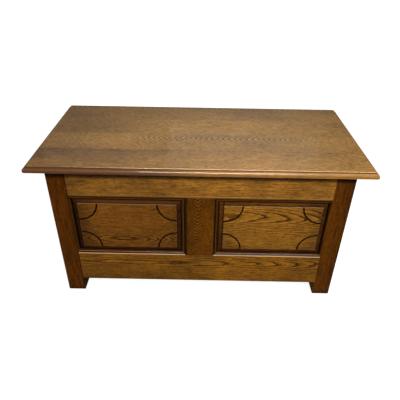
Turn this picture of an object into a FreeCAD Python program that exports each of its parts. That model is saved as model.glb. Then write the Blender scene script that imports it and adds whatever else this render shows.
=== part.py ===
import FreeCAD, Part
import math
import os

# Dough bin: a panelled oak chest on four square posts, with a lift-up lid on two butt hinges.
# Millimetres. The floor is z = 0, the lid's plan is centred on x = y = 0 and the front faces -y.

# Overall sizes
lid_width = 1100.0
lid_depth = 530.0
overall_height = 566.0
lid_thickness = 24.0
end_overhang = 48.0
front_overhang = 48.0
rear_overhang = 30.0

# Lid edge: a half-round nose under a small lip, on the front and both ends
nose_depth = 9.0
lip_drop = 4.5
lip_ledge = 1.5
lip_round = 2.0
lid_corner_round = 4.0

# Lid boards, tongued and grooved, numbered from the front
lid_board_count = 4
front_board_width = 135.0
lid_tongue_length = 6.0
lid_tongue_thickness = 7.0
lid_tongue_fit = 0.15
lid_tongue_end_gap = 0.6

# Posts and rails
post_width = 63.0
post_round = 2.0
foot_ease = 5.0
rail_thickness = 30.0
top_rail_height = 108.0
bottom_rail_height = 124.0
foot_clearance = 62.0
rail_round = 1.5
muntin_width = 97.0

# Mortise and tenon joints
tenon_thickness = 10.0
tenon_length = 38.0
tenon_setback = 10.0
tenon_shoulder = 20.0
tenon_haunch = 6.0
glue_gap = 0.1
mortise_end_gap = 2.0
stub_end_gap = 1.0

# Panel grooves and panels, depths measured back from the outer face of the frame
groove_setback = 11.0
groove_width = 8.3
groove_depth = 10.0
panel_fit = 0.3
panel_edge_gap = 1.5
field_setback = 5.0
field_step = 1.5
bevel_width = 17.5
bevel_tuck = 4.0
corner_groove_radius = 66.0
corner_groove_width = 5.2
corner_groove_depth = 1.2

# Bead moulding planted inside each opening
bead_width = 14.0
post_bead_width = 5.5
bead_thickness = 9.9
ovolo_width = 6.4
ovolo_depth = 5.0
quirk_depth = 1.0
round_width = 4.2
round_rise = 2.1
foot_step_depth = 7.8

# Floor
floor_underside = 96.0
floor_thickness = 14.0
floor_board_count = 7
floor_tongue_length = 5.0
floor_tongue_thickness = 4.5
floor_tongue_fit = 0.15
floor_tongue_end_gap = 0.6
floor_gap = 1.0
ledger_size = 22.0
ledger_end_gap = 0.5

# Lid battens, placed in from the inner faces of the posts
batten_inset = 139.0
batten_width = 60.0
batten_thickness = 20.0
batten_end_clearance = 15.0
batten_chamfer = 4.0

# Hinges, placed in from the inner faces of the posts
hinge_inset = 109.0
hinge_length = 90.0
knuckle_count = 3
knuckle_radius = 4.5
knuckle_gap = 0.3
knuckle_clearance = 0.3
leaf_thickness = 2.0
leaf_width = 22.0
leaf_corner_round = 3.0
leaf_notch_gap = 0.4
pin_radius = 2.2
pin_press_gap = 0.01
pin_running_gap = 0.05

# Countersunk screws
screw_hole_gap = 0.05
screw_sides = 8
slot_width = 0.9
slot_depth = 0.8
hinge_screw_radius = 1.8
hinge_screw_head_radius = 3.6
hinge_screw_head_height = 1.8
hinge_screw_length = 18.0
hinge_screw_count = 3
hinge_screw_end_margin = 13.0
wood_screw_radius = 2.0
wood_screw_head_radius = 4.0
wood_screw_head_height = 3.0
wood_screw_reach = 12.0
batten_screw_end_margin = 20.0
long_ledger_screws = 3
short_ledger_screws = 2
ledger_screw_end_margin = 60.0

# Places worked out from the sizes above
lid_front = -lid_depth / 2
lid_back = lid_depth / 2
carcase_top = overall_height - lid_thickness
half_width = lid_width / 2 - end_overhang
front_face = lid_front + front_overhang
back_face = lid_back - rear_overhang
carcase_middle = (front_face + back_face) / 2
half_depth = (back_face - front_face) / 2
front_half_run = half_width - post_width
end_half_run = half_depth - post_width
opening_low = foot_clearance + bottom_rail_height
opening_high = carcase_top - top_rail_height
groove_back = groove_setback + groove_width
tongue_front = groove_setback + panel_fit
panel_back = groove_back - panel_fit
tongue_reach = groove_depth - panel_edge_gap
muntin_half = muntin_width / 2
nose_height = lid_thickness - lip_drop
floor_top = floor_underside + floor_thickness
hinge_middle = front_half_run - hinge_inset
batten_middle = front_half_run - batten_inset
batten_y0 = front_face + rail_thickness + batten_end_clearance
batten_y1 = back_face - rail_thickness - batten_end_clearance
axis_offset = knuckle_radius + knuckle_clearance
axis_y = back_face + axis_offset
axis_z = carcase_top - axis_offset

Vec = FreeCAD.Vector
nodes = {}


def box(x0, x1, y0, y1, z0, z1):
    # Box between two corners given axis by axis, in either order.
    low = Vec(min(x0, x1), min(y0, y1), min(z0, z1))
    return Part.makeBox(abs(x1 - x0), abs(y1 - y0), abs(z1 - z0), low)


def line(start, end):
    return Part.LineSegment(start, end).toShape()


def arc(start, middle, end):
    return Part.Arc(start, middle, end).toShape()


def filled(edges):
    return Part.Face(Part.Wire(Part.__sortEdges__(edges)))


def prism(points, sweep):
    # Straight-sided outline swept along a vector.
    return Part.Face(Part.makePolygon(points + points[:1])).extrude(sweep)


def mirrored(shape):
    return shape.mirror(Vec(0, 0, 0), Vec(1, 0, 0))


def spread(count, low, high):
    # Evenly spaced places from low to high, both ends included.
    step = (high - low) / (count - 1)
    return [low + step * index for index in range(count)]


def on_side(shape, half_out, turn):
    # A frame is modelled with its outer face on y = 0 and turned on to its side of the carcase.
    placed = shape.copy()
    placed.translate(Vec(0, -half_out, 0))
    placed.rotate(Vec(0, 0, 0), Vec(0, 0, 1), turn)
    placed.translate(Vec(0, carcase_middle, 0))
    return placed


# Screws


def screw_ring(radius, height):
    # Corners of a screw's outline at one height. It has flat sides, because round screws and their
    # holes would hold most of the model's facets.
    turns = [2 * math.pi * index / screw_sides for index in range(screw_sides + 1)]
    return [Vec(radius * math.cos(turn), radius * math.sin(turn), height) for turn in turns]


def screw_body(length, radius, head_radius, head_height, gap):
    # Countersunk screw with its head's flat on z = 0 and its end towards +z.
    head = screw_ring(head_radius + gap, 0)
    neck = screw_ring(radius + gap, head_height)
    end = screw_ring(radius + gap, length + gap)
    faces = [Part.Face(Part.makePolygon(ring)) for ring in (head, end)]
    for upper, lower in ((head, neck), (neck, end)):
        for index in range(screw_sides):
            after = index + 1
            outline = [upper[index], upper[after], lower[after], lower[index], upper[index]]
            faces.append(Part.Face(Part.makePolygon(outline)))
    return Part.makeSolid(Part.makeShell(faces))


def aimed(shape, place, direction):
    shape.Placement = FreeCAD.Placement(place, FreeCAD.Rotation(Vec(0, 0, 1), direction))
    return shape


def screws_and_holes(places, direction, length, radius, head_radius, head_height):
    # Slotted screws for the given places, and the slightly wider holes that they sit in.
    screws = []
    holes = []
    for place in places:
        screw = screw_body(length, radius, head_radius, head_height, 0)
        slot = box(-head_radius, head_radius, -slot_width / 2, slot_width / 2, 0, slot_depth)
        screws.append(aimed(screw.cut(slot), place, direction))
        hole = screw_body(length, radius, head_radius, head_height, screw_hole_gap)
        holes.append(aimed(hole, place, direction))
    return screws, holes


# Frame pieces, all with the outer face on y = 0


def tenons(half_run, low, high, gap, end_gap):
    # The two tenons of a rail. With gaps they are the mortises that take them.
    front = tenon_setback - gap
    back = tenon_setback + tenon_thickness + gap
    reach = half_run + tenon_length + end_gap
    return [box(side * half_run, side * reach, front, back, low - gap, high + gap) for side in (-1, 1)]


def top_tenon_span():
    return opening_high + groove_depth + tenon_haunch, carcase_top - tenon_shoulder


def bottom_tenon_span():
    return foot_clearance + tenon_shoulder, opening_low - groove_depth - tenon_haunch


def top_rail(half_run):
    body = box(-half_run, half_run, 0, rail_thickness, opening_high, carcase_top)
    groove_end = opening_high + groove_depth
    groove = box(-half_run, half_run, groove_setback, groove_back, opening_high, groove_end)
    low, high = top_tenon_span()
    return body.cut(groove).fuse(tenons(half_run, low, high, 0, 0))


def bottom_rail(half_run):
    body = box(-half_run, half_run, 0, rail_thickness, foot_clearance, opening_low)
    lower_arris = [
        edge
        for edge in body.Edges
        if edge.BoundBox.ZMax < foot_clearance + rail_round and edge.BoundBox.YMax < rail_round
        and edge.BoundBox.XLength > half_run
    ]
    body = body.makeFillet(rail_round, lower_arris)
    groove_end = opening_low - groove_depth
    groove = box(-half_run, half_run, groove_setback, groove_back, groove_end, opening_low)
    low, high = bottom_tenon_span()
    return body.cut(groove).fuse(tenons(half_run, low, high, 0, 0))


def muntin():
    # Upright between the rails, grooved for a panel on each side, with stub tenons in the rail grooves.
    body = box(-muntin_half, muntin_half, 0, rail_thickness, opening_low, opening_high)
    for side in (-1, 1):
        inner = side * (muntin_half - groove_depth)
        outer = side * muntin_half
        body = body.cut(box(inner, outer, groove_setback, groove_back, opening_low, opening_high))
    reach = groove_depth - stub_end_gap
    stub_half = muntin_half - groove_depth
    stub = box(
        -stub_half,
        stub_half,
        groove_setback + glue_gap,
        groove_back - glue_gap,
        opening_low - reach,
        opening_high + reach,
    )
    return body.fuse(stub).removeSplitter()


def post_cutters(half_run):
    # What a frame takes out of its two posts: mortises for the rails and a groove for the panel edge.
    cutters = []
    for low, high in (top_tenon_span(), bottom_tenon_span()):
        cutters += tenons(half_run, low, high, glue_gap, mortise_end_gap)
    low = opening_low - groove_depth
    high = opening_high + groove_depth
    for side in (-1, 1):
        reach = side * (half_run + groove_depth)
        cutters.append(box(side * half_run, reach, groove_setback, groove_back, low, high))
    return cutters


def panel_board(left, right):
    # Flat board that fills an opening and stands in the grooves round it.
    return box(
        left - tongue_reach,
        right + tongue_reach,
        tongue_front,
        panel_back,
        opening_low - tongue_reach,
        opening_high + tongue_reach,
    )


def field_edges(left, right, left_bead, right_bead):
    # Outline of the raised field inside the beads and the bevel: left, right, low and high.
    margin = bead_width + bevel_width
    return (
        left + left_bead + bevel_width,
        right - right_bead - bevel_width,
        opening_low + margin,
        opening_high - margin,
    )


def corner_groove(x, z):
    # Shallow flat-bottomed ring that cuts a quarter-circle groove round one corner of the field.
    outer = corner_groove_radius + corner_groove_width / 2
    inner = corner_groove_radius - corner_groove_width / 2
    centre = Vec(x, field_setback, z)
    disc = Part.makeCylinder(outer, corner_groove_depth, centre, Vec(0, 1, 0))
    return disc.cut(Part.makeCylinder(inner, corner_groove_depth, centre, Vec(0, 1, 0)))


def raised_panel(left, right, left_bead, right_bead, grooved):
    x0, x1, z0, z1 = field_edges(left, right, left_bead, right_bead)
    field_back = field_setback + field_step
    field = box(x0, x1, field_setback, field_back, z0, z1)
    if grooved:
        field = field.cut([corner_groove(x, z) for x in (x0, x1) for z in (z0, z1)])
    run = bevel_width + bevel_tuck
    bevel = Part.makeWedge(
        x0, field_back, z0, z0 - run, x0 - run, x1, tongue_front, z1, z1 + run, x1 + run
    )
    return field.fuse([bevel, panel_board(left, right)]).removeSplitter()


# Bead mouldings


def bead_face(point):
    # Section of the wide bead: ovolo, quirk, small round and a flat foot. Point takes the width
    # into the opening and the depth behind the frame's face.
    slant = math.sqrt(0.5)
    round_foot = ovolo_depth + quirk_depth
    round_end = ovolo_width + round_width
    edges = [
        arc(
            point(0, 0),
            point(ovolo_width * slant, ovolo_depth * (1 - slant)),
            point(ovolo_width, ovolo_depth),
        ),
        line(point(ovolo_width, ovolo_depth), point(ovolo_width, round_foot)),
        arc(
            point(ovolo_width, round_foot),
            point(ovolo_width + round_width / 2, round_foot - round_rise),
            point(round_end, round_foot),
        ),
        line(point(round_end, round_foot), point(round_end, foot_step_depth)),
        line(point(round_end, foot_step_depth), point(bead_width, foot_step_depth)),
        line(point(bead_width, foot_step_depth), point(bead_width, bead_thickness)),
        line(point(bead_width, bead_thickness), point(0, bead_thickness)),
        line(point(0, bead_thickness), point(0, 0)),
    ]
    return filled(edges)


def post_bead_face(point):
    # Section of the narrow bead beside a post: a plain quarter round.
    slant = math.sqrt(0.5)
    edges = [
        arc(
            point(0, 0),
            point(post_bead_width * slant, ovolo_depth * (1 - slant)),
            point(post_bead_width, ovolo_depth),
        ),
        line(point(post_bead_width, ovolo_depth), point(post_bead_width, bead_thickness)),
        line(point(post_bead_width, bead_thickness), point(0, bead_thickness)),
        line(point(0, bead_thickness), point(0, 0)),
    ]
    return filled(edges)


def rail_bead(left, right, edge, inward):
    # Bead along a rail, from post to post or from post to muntin.
    face = bead_face(lambda u, v: Vec(left, v, edge + inward * u))
    return face.extrude(Vec(right - left, 0, 0))


def muntin_bead(edge):
    # Bead on the muntin's left side, over the full height of the opening.
    face = bead_face(lambda u, v: Vec(edge - u, v, opening_low))
    return face.extrude(Vec(0, 0, opening_high - opening_low))


def post_bead(edge, inward):
    # Bead beside a post, standing between the two rail beads.
    low = opening_low + bead_width
    face = post_bead_face(lambda u, v: Vec(edge + inward * u, v, low))
    return face.extrude(Vec(0, 0, opening_high - bead_width - low))


def mitre(edge, corner, inward, rail_side):
    # Triangle cut away at a mitred corner, from the rail's bead or from the muntin's bead.
    start = Vec(edge, 0, corner)
    inner = Vec(edge - bead_width, 0, corner + inward * bead_width)
    if rail_side:
        spare = Vec(edge, 0, corner + inward * bead_width)
    else:
        spare = Vec(edge - bead_width, 0, corner)
    return prism([start, inner, spare], Vec(0, bead_thickness, 0))


def front_beads(left, right):
    # The four beads of the left front opening: post on the left, muntin on the right.
    top = rail_bead(left, right, opening_high, -1).cut(mitre(right, opening_high, -1, True))
    bottom = rail_bead(left, right, opening_low, 1).cut(mitre(right, opening_low, 1, True))
    side = muntin_bead(right)
    side = side.cut([mitre(right, opening_high, -1, False), mitre(right, opening_low, 1, False)])
    return {
        "top": top,
        "bottom": bottom,
        "muntin": side,
        "post": post_bead(left, 1),
    }


def end_beads(half_run):
    return Part.makeCompound(
        [
            rail_bead(-half_run, half_run, opening_high, -1),
            rail_bead(-half_run, half_run, opening_low, 1),
            post_bead(-half_run, 1),
            post_bead(half_run, -1),
        ]
    )


# Ledgers inside the bottom rails


def ledger(half_run, screw_count):
    # Bar behind a bottom rail, its screws, and the holes for them in the bar and the rail.
    reach = half_run - ledger_end_gap
    inner = rail_thickness + ledger_size
    bar = box(-reach, reach, rail_thickness, inner, floor_underside - ledger_size, floor_underside)
    end = reach - ledger_screw_end_margin
    level = floor_underside - ledger_size / 2
    places = [Vec(x, inner, level) for x in spread(screw_count, -end, end)]
    screws, holes = screws_and_holes(
        places,
        Vec(0, -1, 0),
        ledger_size + wood_screw_reach,
        wood_screw_radius,
        wood_screw_head_radius,
        wood_screw_head_height,
    )
    return bar.cut(holes), screws, holes


# Carcase

left_edge = -front_half_run
right_edge = -muntin_half
sides = {
    "front": (front_half_run, half_depth, 0, long_ledger_screws),
    "right": (end_half_run, half_width, 90, short_ledger_screws),
    "back": (front_half_run, half_depth, 180, long_ledger_screws),
    "left": (end_half_run, half_width, -90, short_ledger_screws),
}
all_post_cutters = []
all_ledger_screws = []
for side_name, (half_run, half_out, turn, screw_count) in sides.items():
    bar, screws, holes = ledger(half_run, screw_count)
    pieces = {
        "top_rail": top_rail(half_run),
        "bottom_rail": bottom_rail(half_run).cut(holes),
        "ledger": bar,
    }
    if side_name in ("left", "right"):
        pieces["panel"] = raised_panel(-half_run, half_run, post_bead_width, post_bead_width, False)
        pieces["beads"] = end_beads(half_run)
    else:
        pieces["muntin"] = muntin()
    if side_name == "front":
        panel = raised_panel(left_edge, right_edge, post_bead_width, bead_width, True)
        pieces["left_panel"] = panel
        pieces["right_panel"] = mirrored(panel)
        for place, bead in front_beads(left_edge, right_edge).items():
            pieces["left_" + place + "_bead"] = bead
            pieces["right_" + place + "_bead"] = mirrored(bead)
    if side_name == "back":
        # The back is seen turned round, so its own left panel is the one on +x.
        pieces["right_panel"] = panel_board(left_edge, right_edge)
        pieces["left_panel"] = mirrored(pieces["right_panel"])
    for piece_name, shape in pieces.items():
        nodes[side_name + "_" + piece_name] = on_side(shape, half_out, turn)
    all_post_cutters += [on_side(cutter, half_out, turn) for cutter in post_cutters(half_run)]
    all_ledger_screws += [on_side(screw, half_out, turn) for screw in screws]
nodes["ledger_screws"] = Part.makeCompound(all_ledger_screws)

for depth_name, out_y, depth_side in (("front", front_face, 1), ("back", back_face, -1)):
    for width_name, width_side in (("left", -1), ("right", 1)):
        out_x = width_side * half_width
        in_x = out_x - width_side * post_width
        in_y = out_y + depth_side * post_width
        post = box(out_x, in_x, out_y, in_y, 0, carcase_top)
        corner = [
            edge
            for edge in post.Edges
            if edge.BoundBox.ZLength > carcase_top / 2
            and abs(edge.BoundBox.Center.x - out_x) < post_width / 2
            and abs(edge.BoundBox.Center.y - out_y) < post_width / 2
        ]
        foot = [edge for edge in post.Edges if edge.BoundBox.ZMax < carcase_top / 2]
        post = post.makeFillet(post_round, corner).common(post.makeChamfer(foot_ease, foot))
        nodes[depth_name + "_" + width_name + "_post"] = post.cut(all_post_cutters)

# Floor boards, running from front to back on the ledgers

floor_x0 = -half_width + rail_thickness + floor_gap
floor_y0 = front_face + rail_thickness + floor_gap
floor_y1 = back_face - rail_thickness - floor_gap
floor_joints = spread(floor_board_count + 1, floor_x0, -floor_x0)
floor_tongue_low = floor_underside + (floor_thickness - floor_tongue_thickness) / 2
floor_tongue_high = floor_tongue_low + floor_tongue_thickness
post_notches = [
    box(
        side * (front_half_run - floor_gap),
        side * half_width,
        end - floor_gap * toward,
        end + half_depth * toward,
        floor_underside,
        floor_top,
    )
    for side in (-1, 1)
    for end, toward in ((carcase_middle - end_half_run, -1), (carcase_middle + end_half_run, 1))
]
for index in range(floor_board_count):
    x0 = floor_joints[index]
    x1 = floor_joints[index + 1]
    board = box(x0, x1, floor_y0, floor_y1, floor_underside, floor_top)
    if index < floor_board_count - 1:
        tongue_end = x1 + floor_tongue_length
        board = board.fuse(
            box(x1, tongue_end, floor_y0, floor_y1, floor_tongue_low, floor_tongue_high)
        )
    if index > 0:
        board = board.cut(
            box(
                x0,
                x0 + floor_tongue_length + floor_tongue_end_gap,
                floor_y0,
                floor_y1,
                floor_tongue_low - floor_tongue_fit,
                floor_tongue_high + floor_tongue_fit,
            )
        )
    nodes["floor_board_" + str(index + 1)] = board.cut(post_notches)

# Hinges, in the corner between the back rail and the lid's overhang

knuckle_length = hinge_length / knuckle_count


def rod(x0, x1, radius):
    # Round bar along the hinge axis.
    return Part.makeCylinder(radius, x1 - x0, Vec(x0, axis_y, axis_z), Vec(1, 0, 0))


def leaf(middle, first_knuckle, to_lid, bore_gap):
    # One hinge leaf: a flat plate from the axis, its own knuckles, and notches for the other leaf's.
    start = middle - hinge_length / 2
    end = middle + hinge_length / 2
    if to_lid:
        plate = box(start, end, axis_y, axis_y + leaf_width, carcase_top - leaf_thickness, carcase_top)
        thickness_axis = "ZLength"
        tip = axis_y + leaf_width
        far = [e for e in plate.Edges if e.BoundBox.YMin > tip - leaf_thickness]
    else:
        plate = box(start, end, back_face, back_face + leaf_thickness, axis_z - leaf_width, axis_z)
        thickness_axis = "YLength"
        tip = axis_z - leaf_width
        far = [e for e in plate.Edges if e.BoundBox.ZMax < tip + leaf_thickness]
    far_corners = [e for e in far if getattr(e.BoundBox, thickness_axis) > leaf_thickness / 2]
    body = plate.makeFillet(leaf_corner_round, far_corners)
    own = []
    notches = []
    for index in range(knuckle_count):
        x0 = start + knuckle_length * index
        x1 = x0 + knuckle_length
        if index % 2 == first_knuckle:
            inset0 = knuckle_gap / 2 if index > 0 else 0
            inset1 = knuckle_gap / 2 if index < knuckle_count - 1 else 0
            own.append(rod(x0 + inset0, x1 - inset1, knuckle_radius))
        else:
            side_gap = knuckle_gap / 2
            notches.append(rod(x0 - side_gap, x1 + side_gap, knuckle_radius + leaf_notch_gap))
    bore = rod(start, end, pin_radius + bore_gap)
    return body.cut(notches).fuse(own).cut(bore)


def hinge_pin(middle):
    return rod(middle - hinge_length / 2, middle + hinge_length / 2, pin_radius)


hinge_screw_sizes = (
    hinge_screw_length,
    hinge_screw_radius,
    hinge_screw_head_radius,
    hinge_screw_head_height,
)
body_screw_level = axis_z - (leaf_width + knuckle_radius) / 2
lid_screw_line = axis_y + (leaf_width + knuckle_radius) / 2
body_screws = []
body_holes = []
lid_screws = []
lid_holes = []
for hinge_name, middle in (("left", -hinge_middle), ("right", hinge_middle)):
    reach = hinge_length / 2 - hinge_screw_end_margin
    rows = spread(hinge_screw_count, middle - reach, middle + reach)
    body_places = [Vec(x, back_face + leaf_thickness, body_screw_level) for x in rows]
    screws, holes = screws_and_holes(body_places, Vec(0, -1, 0), *hinge_screw_sizes)
    nodes[hinge_name + "_hinge_body_leaf"] = leaf(middle, 0, False, pin_press_gap).cut(holes)
    body_screws += screws
    body_holes += holes
    lid_places = [Vec(x, lid_screw_line, carcase_top - leaf_thickness) for x in rows]
    screws, holes = screws_and_holes(lid_places, Vec(0, 0, 1), *hinge_screw_sizes)
    nodes[hinge_name + "_hinge_lid_leaf"] = leaf(middle, 1, True, pin_running_gap).cut(holes)
    lid_screws += screws
    lid_holes += holes
    nodes[hinge_name + "_hinge_pin"] = hinge_pin(middle)
nodes["hinge_body_screws"] = Part.makeCompound(body_screws)
nodes["hinge_lid_screws"] = Part.makeCompound(lid_screws)
nodes["back_top_rail"] = nodes["back_top_rail"].cut(body_holes)

# Lid


def nose_edges(point):
    # Edge of the lid from its underside, round the nose and over the lip to the top. Point takes the
    # distance in from the nose and the height above the underside.
    lip = nose_depth + lip_ledge
    eased = lip_round * (1 - math.sqrt(0.5))
    return [
        arc(point(nose_depth, 0), point(0, nose_height / 2), point(nose_depth, nose_height)),
        line(point(nose_depth, nose_height), point(lip, nose_height)),
        line(point(lip, nose_height), point(lip, lid_thickness - lip_round)),
        arc(
            point(lip, lid_thickness - lip_round),
            point(lip + eased, lid_thickness - eased),
            point(lip + lip_round, lid_thickness),
        ),
    ]


def lid_blank():
    # The glued-up lid: the long section with its front nose, met by the cross section with both end noses.
    top_in = nose_depth + lip_ledge + lip_round
    half = lid_width / 2

    def front_point(inset, height):
        return Vec(-half, lid_front + inset, carcase_top + height)

    def left_point(inset, height):
        return Vec(-half + inset, lid_front, carcase_top + height)

    def right_point(inset, height):
        return Vec(half - inset, lid_front, carcase_top + height)

    back_low = Vec(-half, lid_back, carcase_top)
    back_high = Vec(-half, lid_back, overall_height)
    long_section = nose_edges(front_point) + [
        line(front_point(top_in, lid_thickness), back_high),
        line(back_high, back_low),
        line(back_low, front_point(nose_depth, 0)),
    ]
    cross_section = nose_edges(left_point) + nose_edges(right_point) + [
        line(left_point(top_in, lid_thickness), right_point(top_in, lid_thickness)),
        line(left_point(nose_depth, 0), right_point(nose_depth, 0)),
    ]
    long_bar = filled(long_section).extrude(Vec(lid_width, 0, 0))
    cross_bar = filled(cross_section).extrude(Vec(0, lid_depth, 0))
    plan = box(-half, half, lid_front, lid_back, carcase_top, overall_height)
    front_corners = [
        edge
        for edge in plan.Edges
        if edge.BoundBox.ZLength > lid_thickness / 2 and edge.BoundBox.YMax < lid_front + lid_corner_round
    ]
    plan = plan.makeFillet(lid_corner_round, front_corners)
    return long_bar.common(cross_bar).common(plan)


def batten(x):
    half = batten_width / 2
    bar = box(x - half, x + half, batten_y0, batten_y1, carcase_top - batten_thickness, carcase_top)
    lower = [edge for edge in bar.Edges if edge.BoundBox.ZMax < carcase_top - batten_thickness / 2]
    return bar.makeChamfer(batten_chamfer, lower)


back_boards = lid_board_count - 1
lid_joints = [lid_front] + spread(lid_board_count, lid_front + front_board_width, lid_back)
middle_rows = [(lid_joints[index] + lid_joints[index + 1]) / 2 for index in range(1, back_boards)]
batten_rows = [batten_y0 + batten_screw_end_margin] + middle_rows + [batten_y1 - batten_screw_end_margin]
batten_screws = []
batten_holes = []
for batten_name, x in (("left", -batten_middle), ("right", batten_middle)):
    places = [Vec(x, y, carcase_top - batten_thickness) for y in batten_rows]
    screws, holes = screws_and_holes(
        places,
        Vec(0, 0, 1),
        batten_thickness + wood_screw_reach,
        wood_screw_radius,
        wood_screw_head_radius,
        wood_screw_head_height,
    )
    nodes[batten_name + "_batten"] = batten(x).cut(holes)
    batten_screws += screws
    batten_holes += holes
nodes["batten_screws"] = Part.makeCompound(batten_screws)

blank = lid_blank()
lid_middle = carcase_top + lid_thickness / 2
tongue_half = lid_tongue_thickness / 2
half_lid = lid_width / 2
for index in range(lid_board_count):
    y0 = lid_joints[index]
    y1 = lid_joints[index + 1]
    reach = box(-half_lid, half_lid, y0, y1, carcase_top, overall_height)
    if index < back_boards:
        tongue_end = y1 + lid_tongue_length
        tongue_low = lid_middle - tongue_half
        tongue_high = lid_middle + tongue_half
        reach = reach.fuse(box(-half_lid, half_lid, y1, tongue_end, tongue_low, tongue_high))
    board = blank.common(reach)
    if index > 0:
        slot_half = tongue_half + lid_tongue_fit
        slot_end = y0 + lid_tongue_length + lid_tongue_end_gap
        board = board.cut(
            box(-half_lid, half_lid, y0, slot_end, lid_middle - slot_half, lid_middle + slot_half)
        )
    nodes["lid_board_" + str(index + 1)] = board.cut(lid_holes + batten_holes)

# One file for each piece

os.makedirs("parts", exist_ok=True)
for name, shape in nodes.items():
    shape.exportStep("parts/" + name + ".step")
print(len(nodes), "pieces written")
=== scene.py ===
import bpy
import math
from mathutils import Matrix, Vector


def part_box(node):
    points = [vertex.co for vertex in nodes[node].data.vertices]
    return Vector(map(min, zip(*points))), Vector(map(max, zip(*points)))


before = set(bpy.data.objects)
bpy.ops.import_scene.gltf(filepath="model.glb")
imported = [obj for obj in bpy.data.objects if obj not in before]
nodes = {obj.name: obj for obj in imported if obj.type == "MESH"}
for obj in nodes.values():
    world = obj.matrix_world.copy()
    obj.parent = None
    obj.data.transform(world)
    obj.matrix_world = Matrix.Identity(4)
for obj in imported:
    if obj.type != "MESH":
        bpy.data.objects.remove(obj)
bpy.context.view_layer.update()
mm = 0.001
print("frame loaded:", len(nodes), "pieces")


def linear(hexText):
    shades = [int(hexText[i:i + 2], 16) / 255 for i in (1, 3, 5)]
    return [s / 12.92 if s <= 0.04045 else ((s + 0.055) / 1.055) ** 2.4 for s in shades] + [1.0]


# adds one node: values and links go to its inputs, the rest are its own settings
# a map range has 0 value, 1 and 2 from, 3 and 4 to; a colour mix has 0 share, 6 and 7 colours
def put(tree, kind, inputs=None, stops=None, **settings):
    node = tree.nodes.new(kind)
    for key, value in settings.items():
        setattr(node, key, value)
    if stops:
        ramp = node.color_ramp.elements
        while len(ramp) < len(stops):
            ramp.new(0.5)
        for element, (place, tint) in zip(ramp, stops):
            element.position = place
            element.color = linear(tint)
    for key, value in (inputs or {}).items():
        if isinstance(value, bpy.types.NodeSocket):
            tree.links.new(value, node.inputs[key])
        else:
            node.inputs[key].default_value = value
    return node


def newSkin(name):
    skin = bpy.data.materials.new(name)
    skin.use_nodes = True
    skin.node_tree.nodes.clear()
    return skin, skin.node_tree


def wear(pieceName, skin):
    piece = nodes[pieceName]
    if piece.material_slots:
        for place in piece.material_slots:
            place.material = skin
    else:
        piece.data.materials.append(skin)


# the six sides of a piece, mm
def sides(pieceName):
    low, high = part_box(pieceName)
    names = ("left", "front", "bottom", "right", "back", "top")
    return {name: round(value / mm, 2) for name, value in zip(names, (*low, *high))}


axes = {"x": Vector((1, 0, 0)), "y": Vector((0, 1, 0)), "z": Vector((0, 0, 1))}

# how a board was sawn, where its own cut doesn't say otherwise
plainCut = {
    "tilt": 0.02,  # slope of the log to the face, steeper for shorter flames
    "bow": 0.0,    # bend of the log, in 1 / m
    "ring": 3.0,   # mm from ring to ring
    "wander": 9,   # mm that the rings sway
    "patch": 0.0,  # m that the stain's patches are moved along the grain
    "fade": 0.4,   # how far the figure fades in the plain patches
}


# where a board lay in its log: the heart line runs along the grain, some way behind the show face
# the heart is given as mm behind the face, across the board and along it
def sawn(pieceName, out, cut):
    low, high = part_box(pieceName)
    size = high - low
    grain = axes["xyz"[max(range(3), key=lambda i: size[i])]]
    face = axes[out[-1]] * (-1 if out[0] == "-" else 1)
    across = grain.cross(face)
    alongLog = (grain + face * cut["tilt"]).normalized()
    outLog = (face - alongLog * face.dot(alongLog)).normalized()
    turn = Matrix((alongLog, outLog, alongLog.cross(outLog))).transposed().to_euler("XYZ")
    depth, aside, ahead = cut["heart"]
    heart = (low + high) / 2 - face * (depth * mm) + across * (aside * mm) + grain * (ahead * mm)
    return heart, turn


# Oak, ring porous: dark porous early wood, smooth pale late wood, stained, glazed dark in the corners,
# with painted shade in recesses and under the lid and painted highlights on some edges, then a satin lacquer.
# The eye sees flame figure on flat sawn faces, short dark pores and a soft sheen.
oakGrain = {
    "stretch": 0.12,              # figure is drawn out along the grain by 1 / 0.12
    "wanderSize": 55 * mm,        # how often the rings sway across the board
    "plainLevels": (0.42, 0.58),  # patch levels where the figure starts to fade and has faded
    "poreSize": 1.8 * mm,         # real pores are 0.3 mm wide, drawn coarser so that they show
    "poreLevels": (0.54, 0.59),   # noise levels where a pore starts and is fully dark
    "poreShares": (0.85, 0.4),    # strength of the pores in early wood and in late wood
    "poreEnd": 0.6,               # share of the ring where they are at their weakest
    "poreDip": -1.6,              # depth of a pore, as a share of the ring's rise
    "poreDull": 0.16,             # how much rougher a pore is than late wood
    "ringRise": 0.3 * mm,         # late wood stands proud
    "blotchSize": 210 * mm,       # patches where the stain took more or less
    "blotchStretch": 0.45,        # they are drawn out along the grain by 1 / 0.45
    "cloudSize": 32 * mm,         # smaller clouds inside them
    "stainLevels": (0.3, 0.7),    # noise levels of the least and the most stain
    "fibreLevels": (0.35, 0.65),  # the same for the threads of fibre
    "strayFrom": 30,              # bands of glaze that fade over more mm than this have ragged edges
    "stray": 24,                  # mm that a ragged edge strays
    "polish": 0.65,               # lacquer where hands have polished it
}
waveTurn = 0.05 * 2 * math.pi  # ring spacing of the wave texture at scale 1


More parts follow.
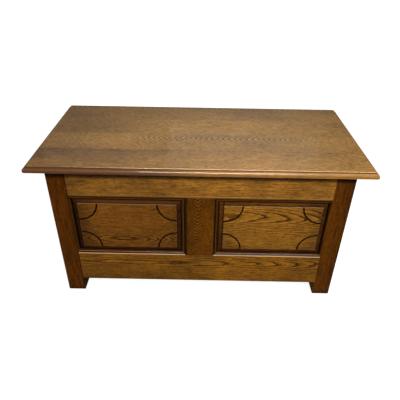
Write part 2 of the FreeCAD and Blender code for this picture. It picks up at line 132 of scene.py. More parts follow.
# growth rings round the heart line, and the swaying space that they and the fibres lie in
def growthRings(tree, log, cut):
    part = put(tree, "ShaderNodeSeparateXYZ", {0: log})
    square = put(tree, "ShaderNodeMath", {0: part.outputs[0], 1: part.outputs[0]}, operation="MULTIPLY")
    bowed = put(tree, "ShaderNodeMath", {0: square.outputs[0], 1: cut["bow"], 2: part.outputs[1]},
                operation="MULTIPLY_ADD")
    drawn = put(tree, "ShaderNodeMath", {0: part.outputs[0], 1: oakGrain["stretch"]}, operation="MULTIPLY")
    fibre = put(tree, "ShaderNodeCombineXYZ",
                {0: drawn.outputs[0], 1: bowed.outputs[0], 2: part.outputs[2]}).outputs[0]
    sway = put(tree, "ShaderNodeTexNoise", {
        "Vector": fibre, "Scale": 1 / oakGrain["wanderSize"], "Detail": 2.0, "Roughness": 0.5})
    reach = cut["wander"] * mm
    swayed = put(tree, "ShaderNodeVectorMath", {0: sway.outputs["Color"], 1: (0.0, reach, reach), 2: fibre},
                 operation="MULTIPLY_ADD").outputs[0]
    rings = put(tree, "ShaderNodeTexWave", {
        "Vector": swayed, "Scale": waveTurn / (cut["ring"] * mm), "Distortion": 1.4, "Detail": 2.0,
        "Detail Scale": 1.6, "Detail Roughness": 0.6},
        wave_type="RINGS", rings_direction="X", wave_profile="SAW").outputs["Fac"]
    return rings, swayed


# pores, which sit mostly in the early wood
def openPores(tree, rings, swayed):
    opens, dark = oakGrain["poreLevels"]
    early, late = oakGrain["poreShares"]
    noise = put(tree, "ShaderNodeTexNoise", {
        "Vector": swayed, "Scale": 1 / oakGrain["poreSize"], "Detail": 1.0, "Roughness": 0.5})
    pore = put(tree, "ShaderNodeMapRange", {0: noise.outputs["Fac"], 1: opens, 2: dark, 3: 0.0, 4: 1.0})
    share = put(tree, "ShaderNodeMapRange", {0: rings, 1: 0.0, 2: oakGrain["poreEnd"], 3: early, 4: late})
    return put(tree, "ShaderNodeMath", {0: pore.outputs[0], 1: share.outputs[0]},
               operation="MULTIPLY").outputs[0]


# how strongly the stain took: large patches, clouds inside them and threads along the fibre
def unevenStain(tree, tone, blotch, patch, swayed):
    cloud = put(tree, "ShaderNodeTexNoise", {
        "Vector": patch, "Scale": 1 / oakGrain["cloudSize"], "Detail": 2.0, "Roughness": 0.6})
    along = put(tree, "ShaderNodeMapping", {"Vector": swayed, "Scale": (tone["thread"], 1, 1)})
    thread = put(tree, "ShaderNodeTexNoise", {
        "Vector": along.outputs[0], "Scale": 1 / (tone["fibre"] * mm), "Detail": 5.0, "Roughness": 0.8})
    taken = 1.0
    for noise, change, levels in ((blotch, tone["uneven"], oakGrain["stainLevels"]),
                                  (cloud, tone["mottle"], oakGrain["stainLevels"]),
                                  (thread, tone["streak"], oakGrain["fibreLevels"])):
        least, most = levels
        share = put(tree, "ShaderNodeMapRange",
                    {0: noise.outputs["Fac"], 1: least, 2: most, 3: 1 - change, 4: 1 + change})
        taken = put(tree, "ShaderNodeMath", {0: taken, 1: share.outputs[0]}, operation="MULTIPLY").outputs[0]
    return taken


# A band of glaze, wear, painted shade or painted highlight: axis, mm where it starts, mm where it is full,
# share;
# two more numbers make it a line, full up to the first and gone at the second. A list of bands is where all
# of them meet.
def bandShare(tree, ragged, sharp, meeting):
    share = 1.0
    for axis, start, full, most, *end in meeting if isinstance(meeting, list) else [meeting]:
        strays = abs(full - start) > oakGrain["strayFrom"]
        shift = oakGrain["stray"] / 2 if strays else 0
        place = (ragged if strays else sharp).outputs["xyz".index(axis)]
        ramps = [(start + shift, full + shift, 0.0, most)]
        if end:
            ramps.append((end[0], end[1], 1.0, 0.0))
        for near, far, low, high in ramps:
            ramp = put(tree, "ShaderNodeMapRange", {0: place, 1: near * mm, 2: far * mm, 3: low, 4: high},
                       interpolation_type="SMOOTHSTEP")
            share = put(tree, "ShaderNodeMath", {0: share, 1: ramp.outputs[0]},
                        operation="MULTIPLY").outputs[0]
    return share


# glaze and a painted highlight on a raised panel, in mm outward from the edge of its field
fieldFinish = {
    "rampFrom": -10, "rampTo": 30,  # reach of the bevel's colours
    "grooveHalf": (2.6, 3.5),       # corner groove: dark to the first, clean at the second
    "grooveDark": 0.97,
    "grooveEnd": -0.4,              # it fades out from here to the edge
    "rim": (-2.0, -1.2, 0.0, 0.4),  # painted highlight on the arris: starts, full, full until, gone
    "rubbed": (0.05, 0.32),         # share of that highlight on the other three sides and on the top one
    "topSide": (0.96, 0.98),        # share of the half height where the top side begins
}


# a raised field: glaze and painted shade down the bevel, glaze in the corner grooves, a painted highlight on
# the arris
def raisedField(tree, spot, colour, field):
    middle = [(low + high) / 2 * mm for low, high in zip(field["low"], field["high"])]
    half = [(high - low) / 2 * mm for low, high in zip(field["low"], field["high"])]
    first, second = [i for i in range(3) if half[i]]
    centred = put(tree, "ShaderNodeMapping", {"Vector": spot, "Location": [-v for v in middle]}).outputs[0]
    folded = put(tree, "ShaderNodeVectorMath", {0: centred}, operation="ABSOLUTE")
    fromCorner = put(tree, "ShaderNodeVectorMath", {0: folded.outputs[0], 1: half},
                     operation="SUBTRACT").outputs[0]
    side = put(tree, "ShaderNodeSeparateXYZ", {0: fromCorner})
    outside = put(tree, "ShaderNodeMath", {0: side.outputs[first], 1: side.outputs[second]},
                  operation="MAXIMUM").outputs[0]

    near, far = fieldFinish["rampFrom"], fieldFinish["rampTo"]
    spread = put(tree, "ShaderNodeMapRange", {0: outside, 1: near * mm, 2: far * mm, 3: 0.0, 4: 1.0})
    bevel = put(tree, "ShaderNodeValToRGB", {0: spread.outputs[0]},
                stops=[((at - near) / (far - near), tint) for at, tint in field["bevel"]])
    colour = put(tree, "ShaderNodeMix", {0: 1.0, 6: colour, 7: bevel.outputs[0]}, data_type="RGBA",
                 blend_type="MULTIPLY").outputs[2]

    if "arc" in field:
        dark, clean = fieldFinish["grooveHalf"]
        flat = put(tree, "ShaderNodeVectorMath", {0: fromCorner, 1: [1 if v else 0 for v in half]},
                   operation="MULTIPLY")
        away = put(tree, "ShaderNodeVectorMath", {0: flat.outputs[0]}, operation="LENGTH")
        fromArc = put(tree, "ShaderNodeMath", {0: away.outputs["Value"], 1: -field["arc"] * mm},
                      operation="ADD")
        offArc = put(tree, "ShaderNodeMath", {0: fromArc.outputs[0]}, operation="ABSOLUTE")
        line = put(tree, "ShaderNodeMapRange", {
            0: offArc.outputs[0], 1: dark * mm, 2: clean * mm, 3: fieldFinish["grooveDark"], 4: 0.0})
        onField = put(tree, "ShaderNodeMapRange", {
            0: outside, 1: fieldFinish["grooveEnd"] * mm, 2: 0.0, 3: -1.0, 4: 0.0})
        groove = put(tree, "ShaderNodeMath", {0: line.outputs[0], 1: onField.outputs[0], 2: 1.0},
                     operation="MULTIPLY_ADD")
        colour = put(tree, "ShaderNodeVectorMath", {0: colour, "Scale": groove.outputs[0]},
                     operation="SCALE").outputs[0]

    starts, full, until, gone = [at * mm for at in fieldFinish["rim"]]
    inner = put(tree, "ShaderNodeMapRange", {0: outside, 1: starts, 2: full, 3: 0.0, 4: 1.0})
    outer = put(tree, "ShaderNodeMapRange", {0: outside, 1: until, 2: gone, 3: 1.0, 4: 0.0})
    rim = put(tree, "ShaderNodeMath", {0: inner.outputs[0], 1: outer.outputs[0]}, operation="MULTIPLY")
    toward = put(tree, "ShaderNodeVectorMath", {0: centred, 1: [v or mm for v in half]}, operation="DIVIDE")
    height = put(tree, "ShaderNodeSeparateXYZ", {0: toward.outputs[0]})
    # the top side, which faces the light, gets most of the painted highlight
    below, above = fieldFinish["topSide"]
    little, much = fieldFinish["rubbed"]
    topSideLit = put(tree, "ShaderNodeMapRange",
               {0: height.outputs[second], 1: below, 2: above, 3: little, 4: much})
    arrisHighlight = put(tree, "ShaderNodeMath", {0: rim.outputs[0], 1: topSideLit.outputs[0]}, operation="MULTIPLY")
    return put(tree, "ShaderNodeMix", {0: arrisHighlight.outputs[0], 6: colour, 7: linear(field["arris"])},
               data_type="RGBA").outputs[2]


# out is the way the show face looks; the worn bands hold wear and painted highlights, the glaze bands glaze
# and painted shade, both in the tone's own tints; more adds (tint, bands) over them, some of them painted
# light;
# field is a raised panel's, rubbed is where hands have polished the lacquer
def stainedOak(name, out, cut, tone, wornAndLit=(), glazeAndShade=(), more=(), field=None, rubbed=None):
    cut = dict(plainCut, **cut)
    skin, tree = newSkin("stainedOak." + name)
    heart, turn = sawn(name, out, cut)
    spot = put(tree, "ShaderNodeTexCoord").outputs["Object"]
    log = put(tree, "ShaderNodeMapping", {"Vector": spot, "Location": heart, "Rotation": turn},
              vector_type="TEXTURE").outputs[0]
    rings, swayed = growthRings(tree, log, cut)
    wood = put(tree, "ShaderNodeValToRGB", {0: rings}, stops=[
        (0.0, tone["early"]), (0.1, tone["early"]), (0.4, tone["mid"]), (0.9, tone["late"])])

    patch = put(tree, "ShaderNodeMapping", {
        "Vector": log, "Scale": (oakGrain["blotchStretch"], 1, 1),
        "Location": (cut["patch"], 0, 0)}).outputs[0]
    blotch = put(tree, "ShaderNodeTexNoise", {
        "Vector": patch, "Scale": 1 / oakGrain["blotchSize"], "Detail": 4.0, "Roughness": 0.6})
    strayed = put(tree, "ShaderNodeVectorMath", {
        0: blotch.outputs["Color"], 1: (oakGrain["stray"] * mm,) * 3, 2: spot}, operation="MULTIPLY_ADD")
    ragged = put(tree, "ShaderNodeSeparateXYZ", {0: strayed.outputs[0]})
    sharp = put(tree, "ShaderNodeSeparateXYZ", {0: spot})

    # the figure comes and goes along the board
    begins, plain = oakGrain["plainLevels"]
    quiet = put(tree, "ShaderNodeMapRange", {
        0: blotch.outputs["Fac"], 1: begins, 2: plain, 3: 0.0, 4: cut["fade"]}).outputs[0]
    if "calm" in cut:
        calm = bandShare(tree, ragged, sharp, cut["calm"])
        quiet = put(tree, "ShaderNodeMath", {0: quiet, 1: calm}, operation="MAXIMUM").outputs[0]
    figured = put(tree, "ShaderNodeMix", {0: quiet, 6: wood.outputs[0], 7: linear(tone["mid"])},
                  data_type="RGBA").outputs[2]
    pores = openPores(tree, rings, swayed)
    pored = put(tree, "ShaderNodeMix", {0: pores, 6: figured, 7: linear(tone["pore"])},
                data_type="RGBA").outputs[2]
    taken = unevenStain(tree, tone, blotch, patch, swayed)
    colour = put(tree, "ShaderNodeVectorMath", {0: pored, "Scale": taken}, operation="SCALE").outputs[0]

    # washes over the stain: wear and glaze, with painted highlights and painted shade
    for tint, bands in [(tone["wornAndLit"], wornAndLit), (tone["umber"], glazeAndShade), *more]:
        clean = 1.0
        for meeting in bands:
            left = put(tree, "ShaderNodeMath", {0: 1.0, 1: bandShare(tree, ragged, sharp, meeting)},
                       operation="SUBTRACT").outputs[0]
            clean = put(tree, "ShaderNodeMath", {0: clean, 1: left}, operation="MULTIPLY").outputs[0]
        if bands:
            colour = put(tree, "ShaderNodeMix", {0: clean, 6: linear(tint), 7: colour},
                         data_type="RGBA").outputs[2]
    if field:
        colour = raisedField(tree, spot, colour, field)

    # late wood lies a little proud, pores are open
    height = put(tree, "ShaderNodeMath", {0: pores, 1: oakGrain["poreDip"], 2: rings},
                 operation="MULTIPLY_ADD").outputs[0]
    relief = put(tree, "ShaderNodeBump", {
        "Height": height, "Strength": tone["relief"], "Distance": oakGrain["ringRise"]})
    gloss = put(tree, "ShaderNodeMapRange", {
        0: height, 1: -1.0, 2: 1.0, 3: tone["rough"] + oakGrain["poreDull"], 4: tone["rough"]})
    lacquer = tone["coat"]
    if rubbed:
        touched = bandShare(tree, ragged, sharp, rubbed)
        lacquer = put(tree, "ShaderNodeMapRange", {
            0: touched, 1: 0.0, 2: 1.0, 3: tone["coat"], 4: oakGrain["polish"]}).outputs[0]
    surface = put(tree, "ShaderNodeBsdfPrincipled", {
        "Base Color": colour, "Roughness": gloss.outputs[0], "Normal": relief.outputs[0], "IOR": 1.5,
        "Specular IOR Level": tone["specular"], "Coat Weight": lacquer, "Coat Roughness": tone["coatRough"]})
    put(tree, "ShaderNodeOutputMaterial", {0: surface.outputs[0]})
    wear(name, skin)


# stain tones
honeyOak = {
    "early": "#52310a", "mid": "#7f5317", "late": "#90611f", "pore": "#361e05",
    "wornAndLit": "#a87838",   # where the finish is thin; also the tint of painted highlights
    "umber": "#170802",  # glaze left in recesses; also the tint of painted shade
    "uneven": 0.32,      # how much the stain differs from patch to patch
    "mottle": 0.17,      # from cloud to cloud
    "streak": 0.42,      # and from thread to thread
    "fibre": 5,          # mm from thread to thread
    "thread": 0.8,       # threads are shorter the higher this is
    "relief": 0.25,
    "rough": 0.42, "specular": 0.08, "coat": 0.0, "coatRough": 0.3,
}
goldOak = dict(honeyOak, early="#5f390c", mid="#905f1f", late="#a37029", mottle=0.27, streak=0.4)
lowOak = dict(honeyOak, early="#341a00", mid="#724609", late="#865512", pore="#2a1601")
footOak = dict(lowOak, early="#412302", mid="#83530e", late="#996418", streak=0.38)
brownOak = dict(honeyOak, early="#3e1f01", mid="#502903", late="#5c3306", pore="#230e00",
                uneven=0.2, mottle=0.08, streak=0.46, thread=0.5, specular=0.035)
deepOak = dict(brownOak, mid="#4b2501", late="#572e04")
chevronOak = dict(brownOak, early="#2a1300", mid="#5e3404", late="#6c400a", pore="#241000")
panelOak = dict(honeyOak, early="#3e2106", mid="#653c0c", late="#754a16", pore="#241102",
                uneven=0.2, mottle=0.1, specular=0.05)
flameOak = dict(honeyOak, early="#402308", mid="#875918", late="#976623", pore="#301a03",
                uneven=0.22, mottle=0.12, streak=0.48, specular=0.05)
# the lid's umber is tinted blue, so its glaze also paints a cool reflection on the darker left end
lidOak = dict(honeyOak, early="#70502a", mid="#946c32", late="#a27a3c", pore="#40260a",
              wornAndLit="#845000", umber="#241a1e", uneven=0.27, mottle=0.1, streak=0.47, fibre=3.3, thread=1.2,
              relief=0.2, rough=0.36, specular=0.28, coat=0.08, coatRough=0.06)
frontLid = dict(lidOak, early="#704f2a", mid="#966d33", late="#a2783b")
figureLid = dict(lidOak, early="#2e1a06")
# on the beads the worn tint paints highlights: beadOak's on the small round, sillOak's pale one on the sill's
# large round
beadOak = dict(brownOak, early="#2a1503", mid="#402404", late="#4e2f08", pore="#1c0900", wornAndLit="#74481a",
               streak=0.1, relief=0.1, rough=0.34, specular=0.04)
sillOak = dict(beadOak, early="#3a1c04", mid="#52290a", late="#5e3410", wornAndLit="#c09868",
               rough=0.2, specular=0.12, coat=0.18, coatRough=0.08)
backOak = dict(honeyOak, early="#4d3012", mid="#75502a", late="#866036", pore="#33200c", rough=0.55)
insideOak = dict(honeyOak, early="#8b6a42", mid="#b08d5e", late="#c09f70", pore="#6a4d2c",
                 uneven=0.1, mottle=0.06, streak=0.1, relief=0.4, rough=0.7, specular=0.2)

# sides that the bands of glaze, wear and painted light keep to
topRail = sides("front_top_rail")
lowRail = sides("front_bottom_rail")
muntin = sides("front_muntin")
leftPost = sides("front_left_post")
rightPost = sides("front_right_post")
backPost = sides("back_left_post")
lidFirst = sides("lid_board_1")
lidSecond = sides("lid_board_2")
lidLast = sides("lid_board_4")
front = leftPost["front"]   # the chest's front face
under = lidFirst["bottom"]  # underside of the lid


# shade close under the lid, only on an outer face: the band from inner to outer keeps it there
def underLid(axis, inner, outer):
    return [[("z", under - 43, under - 32, 0.5, under - 8, under - 1), (axis, inner, outer, 1)]]


# front frame
frontShade = underLid("y", front + 4, front + 2)
backShade = underLid("y", backPost["back"] - 4, backPost["back"] - 2)
postShade = [("z", under - 58, under - 34, 0.2, under - 8, under - 1)]
# posts darker towards the floor
footDarkening = [("z", 26, 0, 0.65)]
lowRailEdges = [("z", lowRail["bottom"] + 18, lowRail["bottom"], 0.2),
                ("z", lowRail["top"] - 5, lowRail["top"], 0.25)]
frontFrame = {
    "front_top_rail": {
        "tone": goldOak, "cut": {"heart": (80, 105, 0), "wander": 12, "patch": 0.4},
        # lighter line along the lower arris: wear and a painted highlight
        "wornAndLit": [("z", topRail["bottom"] + 8, topRail["bottom"] + 6.5, 0.5)],
        # the band just above the lower edge is painted shade, where the bead below steps back
        "glazeAndShade": [("x", 60, -130, 0.33), ("x", -360, -445, 0.1), ("x", 250, 300, 0.12),
                  ("z", topRail["bottom"] + 5, topRail["bottom"] + 3.5, 0.6)] + frontShade},
    "front_bottom_rail": {
        "tone": footOak,
        "cut": {"heart": (42, -18, 30), "tilt": -0.016, "bow": 0.03, "ring": 2.9, "wander": 15},
        "glazeAndShade": [("x", 90, 0, 0.3), ("x", 0, -420, 0.2), ("x", 230, 420, 0.22)] + lowRailEdges},
    "front_muntin": {
        "tone": chevronOak,
        "cut": {"heart": (44, -3, 0), "tilt": 0.2, "ring": 2.5, "wander": 14, "fade": 0.2},
        # the band at the left side is a painted shadow line along the bead
        "glazeAndShade": [("z", topRail["bottom"] - 104, topRail["bottom"], 0.12), ("x", -8, -42, 0.2),
                  ("x", muntin["left"] + 6, muntin["left"] + 3, 0.8)]},
    "front_left_post": {
        "tone": deepOak, "cut": {"heart": (80, 90, 0)},
        # the first band is painted shade along the inner edge beside the panel
        "glazeAndShade": [("x", leftPost["right"] - 8, leftPost["right"] + 1, 0.85)]
                 + postShade + frontShade + footDarkening},
    "front_right_post": {
        "tone": brownOak, "cut": {"heart": (80, -90, 0), "tilt": 0.015},
        "glazeAndShade": [("x", rightPost["right"] - 40, rightPost["right"] - 2, 0.3)]
                 + postShade + frontShade + footDarkening},
}
for name, look in frontFrame.items():
    stainedOak(name, "-y", **look)
print("front frame finished")

# raised panels: the field lies inside the bead and the bevel
bevelWide = 17.5
topBead = sides("front_left_top_bead")
postBead = sides("front_left_post_bead")
fromRail = topBead["top"] - topBead["bottom"] + bevelWide
fromPost = postBead["right"] - postBead["left"] + bevelWide
fieldBottom = lowRail["top"] + fromRail
fieldTop = topRail["bottom"] - fromRail
fieldInner = muntin["right"] + fromRail
fieldOuter = rightPost["left"] - fromPost


# colours over the bevel, mm out from the field: clean wood, a painted shade line on the step, the glazed
# bevel, painted shade darkening it at the bead
def bevelGlazeAndShade(tint):
    return [(-10, "#ffffff"), (-0.12, "#ffffff"), (0.16, "#30231b"), (2.2, "#30231b"), (2.8, tint),
            (11.6, tint), (14.8, "#4c3a28"), (16.8, "#140c08")]


lowShade = (fieldBottom + 44.5, fieldBottom - 0.5)  # where the lower part of a field darkens
raisedEdge = {"arris": "#a8967c", "arc": 66}  # tint of the painted highlight on the arris, mm radius of the corner grooves
frontPanels = {
    "front_left_panel": {
        "tone": panelOak,
        "cut": {"heart": (24, 60, -27), "tilt": 0.0, "bow": 0.4, "ring": 2.8, "wander": 10},
        # painted highlight just above the field's top edge
        "wornAndLit": [("z", fieldTop + 1, fieldTop + 2.5, 0.3)],
        # the last band is a painted shade line at the field's left edge
        "glazeAndShade": [("x", -fieldOuter + 76, -fieldOuter, 0.5), ("x", -fieldInner - 50, -fieldInner, 0.2),
                  ("x", -fieldOuter + 0.5, -fieldOuter - 0.5, 0.2)],
        "field": dict(raisedEdge, low=(-fieldOuter, 0, fieldBottom), high=(-fieldInner, 0, fieldTop),
                      bevel=bevelGlazeAndShade("#a08c68"))},
    "front_right_panel": {
        "tone": flameOak,
        "cut": {"heart": (36, -38, 0), "tilt": -0.06, "bow": 0.1, "ring": 4.2, "wander": 18},
        # the last band is a painted shade line at the field's left edge
        "glazeAndShade": [("x", fieldInner + 70, fieldInner, 0.15), ("x", fieldOuter - 96, fieldOuter, 0.3),
                  ("z", *lowShade, 0.3),
                  ("x", fieldInner + 3, fieldInner + 2.3, 0.85, fieldInner - 2, fieldInner - 2.7)],
        "field": dict(raisedEdge, low=(fieldInner, 0, fieldBottom), high=(fieldOuter, 0, fieldTop),
                      bevel=bevelGlazeAndShade("#a6946a"))},
}
for name, look in frontPanels.items():
    stainedOak(name, "-y", **look)

# beads, mm inward from the side of the opening: starts, full, share, full until, gone
beadCut = {"heart": (60, 20, 0), "wander": 4}
beadParts = {
    "quirk": (3.2, 3.8, 0.9, 6.2, 6.8),         # dark line between the rounds: glaze and painted shade in the quirk
    "foot": (10.2, 10.6, 0.45, 14, 15),         # shade where it meets the panel
    "smallRound": (6.6, 7, 0.26, 9.6, 10.2),    # painted highlight on the small round
    "shadedRound": (-1, -0.5, 0.85, 3.2, 3.8),  # large round, painted shade
    "litRound": (0, 0.4, 0.9, 3.2, 3.8),        # large round, painted highlight
}


def beadBand(part, axis, edge, inward):
    starts, full, share, until, gone = beadParts[part]
    return (axis, edge + inward * starts, edge + inward * full, share,
            edge + inward * until, edge + inward * gone)


for side, muntinSide, inward in (("left", "right", -1), ("right", "left", 1)):
    openings = {"top": ("z", "top", -1), "bottom": ("z", "bottom", 1), "muntin": ("x", muntinSide, inward)}
    for place, (axis, edge, way) in openings.items():
        name = f"front_{side}_{place}_bead"
        run = (axis, sides(name)[edge], way)
        dark = [beadBand("quirk", *run), beadBand("foot", *run)]
        light = [beadBand("smallRound", *run)]
        if place == "bottom":  # only the sill's large round faces up, so it gets the painted highlight and the others painted shade
            stainedOak(name, "-y", beadCut, sillOak, light + [beadBand("litRound", *run)], dark)
        else:
            stainedOak(name, "-y", beadCut, beadOak, light, dark + [beadBand("shadedRound", *run)])
    # post beads darker deeper in: glaze and painted shade
    stainedOak(f"front_{side}_post_bead", "-y", beadCut, beadOak,
               glazeAndShade=[("y", front - 0.5, front + 3.5, 0.62)])
print("front panels finished")

# ends, seen from the sides
endField = {"arris": raisedEdge["arris"], "bevel": bevelGlazeAndShade("#a88c6a"),
            "low": (0, leftPost["back"] + fromPost, fieldBottom),
            "high": (0, backPost["front"] - fromPost, fieldTop)}
for side, out, turned in (("left", "-x", 1), ("right", "x", -1)):
    outer = leftPost["left"] * turned
    ends = {
        "top_rail": {"tone": honeyOak, "cut": {"heart": (95, 50 * turned, 0), "tilt": 0.03, "ring": 3.2},
                     "glazeAndShade": underLid("x", outer + 4 * turned, outer + 2 * turned)},
        "bottom_rail": {"tone": lowOak, "glazeAndShade": lowRailEdges,
                        "cut": {"heart": (52, -30, 40), "tilt": 0.03 * turned, "bow": 0.06, "ring": 3.2,
                                "wander": 13}},
        "panel": {"tone": flameOak, "glazeAndShade": [("z", *lowShade, 0.2)], "field": endField,
                  "cut": {"heart": (46, 22 * turned, 30), "bow": 0.16, "ring": 3.2, "wander": 13}},
        "beads": {"tone": beadOak, "cut": beadCut},
    }
    for place, look in ends.items():
        stainedOak(f"{side}_{place}", out, **look)
    stainedOak(f"back_{side}_post", "y", {"heart": (110, 40 * turned, 0)}, brownOak,
               glazeAndShade=backShade + footDarkening)
print("ends finished")

# back, plainer
backBoards = {
    "back_top_rail": {"heart": (80, 40, 0)},
    "back_bottom_rail": {"heart": (56, -30, 90), "tilt": -0.02, "bow": 0.05},
    "back_muntin": {"heart": (40, 6, 0), "tilt": 0.1},
    "back_left_panel": {"heart": (40, 30, 40), "tilt": 0.0, "bow": 0.12},
    "back_right_panel": {"heart": (52, -20, -70), "tilt": 0.0, "bow": 0.1},
}
for name, cut in backBoards.items():
    stainedOak(name, "y", dict(cut, ring=3.2, wander=13), backOak, glazeAndShade=backShade)
print("back finished")

# inside: no two floor boards come from the same place in the log
for place in ("front", "back", "left", "right"):
    stainedOak(f"{place}_ledger", "z", {"heart": (50, 10, 0), "tilt": 0.03}, insideOak)
floorHearts = {"behind": (50, 59, 68), "aside": (-20, -6, 8, 22), "tilt": (0.04, 0.02, 0.0)}
for i, name in enumerate(sorted(name for name in nodes if name.startswith("floor_board"))):
    heart = (floorHearts["behind"][i % 3], floorHearts["aside"][i % 4], 0)
    cut = {"heart": heart, "tilt": floorHearts["tilt"][i % 3], "ring": 3.4, "wander": 10}
    stainedOak(name, "z", cut, insideOak)
for name in ("left_batten", "right_batten"):
    stainedOak(name, "-z", {"heart": (60, 10, 0)}, lidOak)
print("inside finished")

# lid boards, counted from the front; the glaze darkens the left end most
frontJoint = lidSecond["front"]
backJoint = lidLast["front"]
rightShade = ("x", 240, 560)  # start and end of a band, each board has its own share
lidBoards = [
    {"tone": frontLid, "cut": {"heart": (80, 190, 0), "ring": 2.6, "wander": 12},
     "glazeAndShade": [("x", 330, -480, 0.45), ("y", frontJoint - 4, frontJoint - 1, 0.55), ("y", -235, -140, 0.24)]},
    {"tone": figureLid, "cut": {"heart": (46, -22, 60), "tilt": 0.17, "ring": 3.2, "fade": 0.35,
                                "calm": ("x", -150, -260, 0.9)},
     "glazeAndShade": [("x", -60, -560, 0.36), (*rightShade, 0.14), ("y", frontJoint + 2.5, frontJoint + 0.6, 0.3)]},
    {"tone": lidOak, "cut": {"heart": (80, -190, 0), "ring": 2.6, "wander": 12},
     "glazeAndShade": [("x", -100, -560, 0.37), (*rightShade, 0.14), ("y", backJoint - 1.83, backJoint - 0.53, 0.2)]},
    {"tone": lidOak, "cut": {"heart": (60, -48, 0), "tilt": 0.12, "ring": 2.6, "wander": 12},
     "glazeAndShade": [("x", -100, -560, 0.38), (*rightShade, 0.16), ("y", 60, lidLast["back"], 0.31)]},
]

# nosed edge of the lid
top = lidFirst["top"]
noseFront = ("y", lidFirst["front"] + 15, lidFirst["front"] + 11, 1)
notBack = ("y", lidLast["back"] - 3, lidLast["back"] - 6, 1)
noseRound = ("z", top - 4.3, top - 4.8, 0.6, under + 1.6, under + 0.3)
# painted shade along the nose's lower edge, and the dark line in the quirk
noseGlazeAndShade = [[("z", under + 1.4, under + 0.4, 0.2), noseFront],
             ("z", top - 2.2, top - 2.6, 0.8, top - 4.4, top - 4.8)]  # dark line in the quirk
noseTints = [
    ("#d8b67c", [[("z", top - 0.1, top - 0.7, 0.45, top - 2.1, top - 2.6),  # painted highlight on the rubbed arris
                  ("y", lidFirst["front"] + 25, lidFirst["front"] + 15, 1), ("x", -420, -150, 1)]]),
    ("#3c1700", [[noseRound, ("x", 60, -180, 1), notBack]]),  # darker to the left
    ("#d49c44", [[("z", under + 6, under + 4, 0.85, under + 1.2, under + 0.3), noseFront,
                  ("x", -250, 100, 1)]]),  # gold painted light along the lower edge, as though lit from the floor
]
nosePolish = [("z", top - 0.05, top - 0.5, 1, under + 8, under + 4), ("x", 450, 80, 1), ("x", -380, -120, 1)]
for i, board in enumerate(lidBoards):
    stainedOak(f"lid_board_{i + 1}", "z", board["cut"], board["tone"], wornAndLit=[[noseRound, notBack]],
               glazeAndShade=board["glazeAndShade"] + noseGlazeAndShade, more=noseTints, rubbed=nosePolish)
print("lid finished")

# Zinc plated steel, dulled: grey metal with cloudy oxide
hingeSteel = {"cloudSize": 9 * mm, "dull": "#7b766d", "bright": "#9a948a", "rough": (0.5, 0.3)}


def zincedSteel():
    skin, tree = newSkin("zincedSteel")
    dullRough, brightRough = hingeSteel["rough"]
    spot = put(tree, "ShaderNodeTexCoord").outputs["Object"]
    cloud = put(tree, "ShaderNodeTexNoise", {
        "Vector": spot, "Scale": 1 / hingeSteel["cloudSize"], "Detail": 4.0}).outputs["Fac"]
    tint = put(tree, "ShaderNodeValToRGB", {0: cloud},
               stops=[(0.3, hingeSteel["dull"]), (0.7, hingeSteel["bright"])])
    rough = put(tree, "ShaderNodeMapRange", {0: cloud, 1: 0.3, 2: 0.7, 3: dullRough, 4: brightRough})
    surface = put(tree, "ShaderNodeBsdfPrincipled", {
        "Base Color": tint.outputs[0], "Metallic": 1.0, "Roughness": rough.outputs[0]})
    put(tree, "ShaderNodeOutputMaterial", {0: surface.outputs[0]})
    return skin


# Brass wood screws, tarnished: warm yellow metal, brown in the low spots
screwBrass = {"cloudSize": 4 * mm, "tarnish": "#6e5020", "bright": "#b58f45", "rough": 0.36}


def tarnishedBrass():
    skin, tree = newSkin("tarnishedBrass")
    spot = put(tree, "ShaderNodeTexCoord").outputs["Object"]
    cloud = put(tree, "ShaderNodeTexNoise", {
        "Vector": spot, "Scale": 1 / screwBrass["cloudSize"], "Detail": 3.0}).outputs["Fac"]
    tint = put(tree, "ShaderNodeValToRGB", {0: cloud},
               stops=[(0.3, screwBrass["tarnish"]), (0.7, screwBrass["bright"])])
    surface = put(tree, "ShaderNodeBsdfPrincipled", {
        "Base Color": tint.outputs[0], "Metallic": 1.0, "Roughness": screwBrass["rough"]})
    put(tree, "ShaderNodeOutputMaterial", {0: surface.outputs[0]})
    return skin


steelSkin = zincedSteel()
brassSkin = tarnishedBrass()
for name in nodes:
    if name.endswith("screws"):
        wear(name, brassSkin)
    elif "hinge" in name:
        wear(name, steelSkin)
print("hinges finished")

# floor: plain pale paper, white to the camera, with a thin shadow; metres
studio = {
    "floorReach": 30, "floorDrop": 0.0005,
    "paper": "#9a9a98", "shadowTint": "#a0a09e",
    "glow": 0.8,               # near the chest, 1 far from it
    "glowReach": (0.9, 3.0),
    "fill": 0.11,              # light from all round
}
bpy.ops.mesh.primitive_plane_add(size=2 * studio["floorReach"], location=(0, 0, -studio["floorDrop"]))
floor = bpy.context.object
floor.name = "studioFloor"
skin, tree = newSkin("whitePaperFloor")
path = put(tree, "ShaderNodeLightPath")
paper = put(tree, "ShaderNodeBsdfDiffuse", {"Color": linear(studio["paper"])})
thin = put(tree, "ShaderNodeBsdfDiffuse", {"Color": linear(studio["shadowTint"])})
spot = put(tree, "ShaderNodeTexCoord").outputs["Object"]
away = put(tree, "ShaderNodeVectorMath", {0: spot}, operation="LENGTH")
near, far = studio["glowReach"]
lift = put(tree, "ShaderNodeMapRange", {0: away.outputs["Value"], 1: near, 2: far, 3: studio["glow"], 4: 1.0})
glow = put(tree, "ShaderNodeEmission", {"Color": linear("#ffffff"), "Strength": lift.outputs[0]})
shaded = put(tree, "ShaderNodeAddShader", {0: thin.outputs[0], 1: glow.outputs[0]})
toCamera = put(tree, "ShaderNodeMixShader",
               {0: path.outputs["Is Camera Ray"], 1: paper.outputs[0], 2: shaded.outputs[0]})
put(tree, "ShaderNodeOutputMaterial", {0: toCamera.outputs[0]})
floor.data.materials.append(skin)

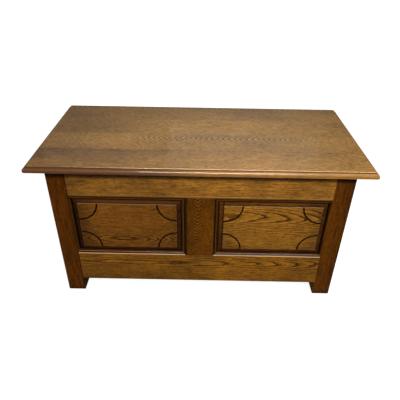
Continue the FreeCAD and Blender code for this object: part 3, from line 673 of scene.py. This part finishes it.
world = bpy.data.worlds.new("studioWorld")
bpy.context.scene.world = world
world.use_nodes = True
tree = world.node_tree
tree.nodes.clear()
path = put(tree, "ShaderNodeLightPath")
fill = put(tree, "ShaderNodeBackground", {"Color": linear("#ffffff"), "Strength": studio["fill"]})
white = put(tree, "ShaderNodeBackground", {"Color": linear("#ffffff"), "Strength": 1.0})
blend = put(tree, "ShaderNodeMixShader",
            {0: path.outputs["Is Camera Ray"], 1: fill.outputs[0], 2: white.outputs[0]})
put(tree, "ShaderNodeOutputWorld", {0: blend.outputs[0]})

# soft boxes: place and aim in metres, sides in metres, power in watts
softBoxes = {
    "frontBox": {"place": (0.25, -2.45, 2.4), "aim": (0, 0, 0.3), "sides": (1.8, 0.45), "power": 106},
    "backBox": {"place": (0.4, 2.5, 2.1), "aim": (0, 0, 0.5), "sides": (1.6, 0.8), "power": 7.5},
    "backLeftBox": {"place": (-1.0, 2.5, 2.1), "aim": (0, 0, 0.5), "sides": (1.2, 0.8), "power": 2.2},
    "leftBox": {"place": (-2.4, 0.2, 0.31), "aim": (0, 0, 0.3), "sides": (2.0, 0.48), "power": 14},
    "rightBox": {"place": (2.4, 0.3, 0.31), "aim": (0, 0, 0.3), "sides": (2.0, 0.48), "power": 12},
    "lowBackBox": {"place": (-0.5, 2.4, 0.31), "aim": (0, 0, 0.3), "sides": (2.6, 0.48), "power": 16},
    "topBox": {"place": (0.9, -0.8, 2.4), "aim": (0.45, -0.2, 0.4), "sides": (1.4, 0.4), "power": 30},
}
for name, box in softBoxes.items():
    lamp = bpy.data.lights.new(name, "AREA")
    lamp.shape = "RECTANGLE"
    lamp.size, lamp.size_y = box["sides"]
    lamp.energy = box["power"]
    holder = bpy.data.objects.new(name, lamp)
    holder.location = box["place"]
    holder.rotation_euler = (Vector(box["aim"]) - Vector(box["place"])).to_track_quat("-Z", "Y").to_euler()
    bpy.context.scene.collection.objects.link(holder)
print("studio lit")

# camera at the photograph's viewing angle, degrees and mm
camera = {"place": (4.589, -1362.22, 1182.173), "down": 33.366, "roll": -0.9256, "turn": 0.2587,
          "lens": 37.151, "sensor": 36}
shot = bpy.data.cameras.new("camera")
shot.sensor_width = camera["sensor"]
shot.lens = camera["lens"]
shot.clip_start = 0.01
holder = bpy.data.objects.new("camera", shot)
bpy.context.scene.collection.objects.link(holder)
aimed = Matrix.Identity(4)
for degrees, axis in ((camera["turn"], "Z"), (-camera["down"], "X"), (camera["roll"], "Y"), (90, "X")):
    aimed = aimed @ Matrix.Rotation(math.radians(degrees), 4, axis)
holder.matrix_world = Matrix.Translation(Vector(camera["place"]) * mm) @ aimed
bpy.context.scene.camera = holder
bpy.context.scene.view_settings.view_transform = "Standard"
